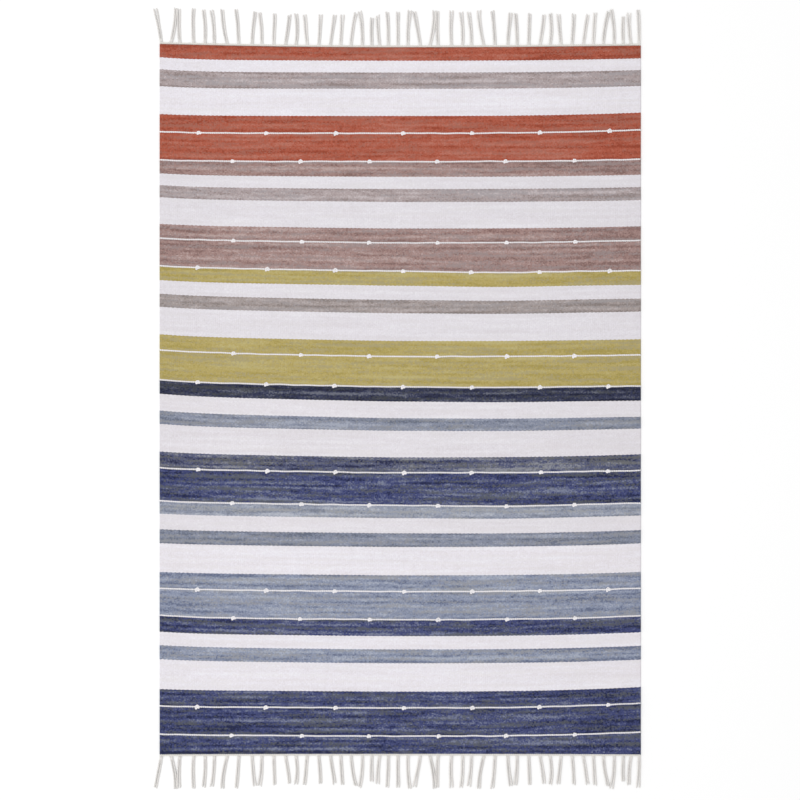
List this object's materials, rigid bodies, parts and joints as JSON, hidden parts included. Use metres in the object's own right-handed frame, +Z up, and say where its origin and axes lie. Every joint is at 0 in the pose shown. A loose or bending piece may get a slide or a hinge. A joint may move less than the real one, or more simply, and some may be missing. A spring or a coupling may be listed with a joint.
{
  "type": "outdoor rug",
  "caption": "Flat-woven striped outdoor rug with thin knotted cords across its broad stripes and a knotted warp fringe along both short ends, lying flat on the ground.",
  "frame": {"origin": "the middle of the woven cloth's underside, on the surface that the rug lies on", "axes": "+X across the rug along the weft, +Y along the warp towards the end with the red stripes, +Z up"},
  "size_m": [1.2161, 1.9491, 0.005],
  "materials": {
    "weft_yarn": "matt weft-faced weave of heathered yarn in stripes of off-white, terracotta, grey, mauve, olive yellow, navy and grey-blue",
    "warp_yarn": "matt off-white plied yarn"
  },
  "bodies": {
    "root": {"woven_cloth": "weft_yarn", "fringe_red_end": "warp_yarn", "fringe_blue_end": "warp_yarn"}
  },
  "joints": []
}
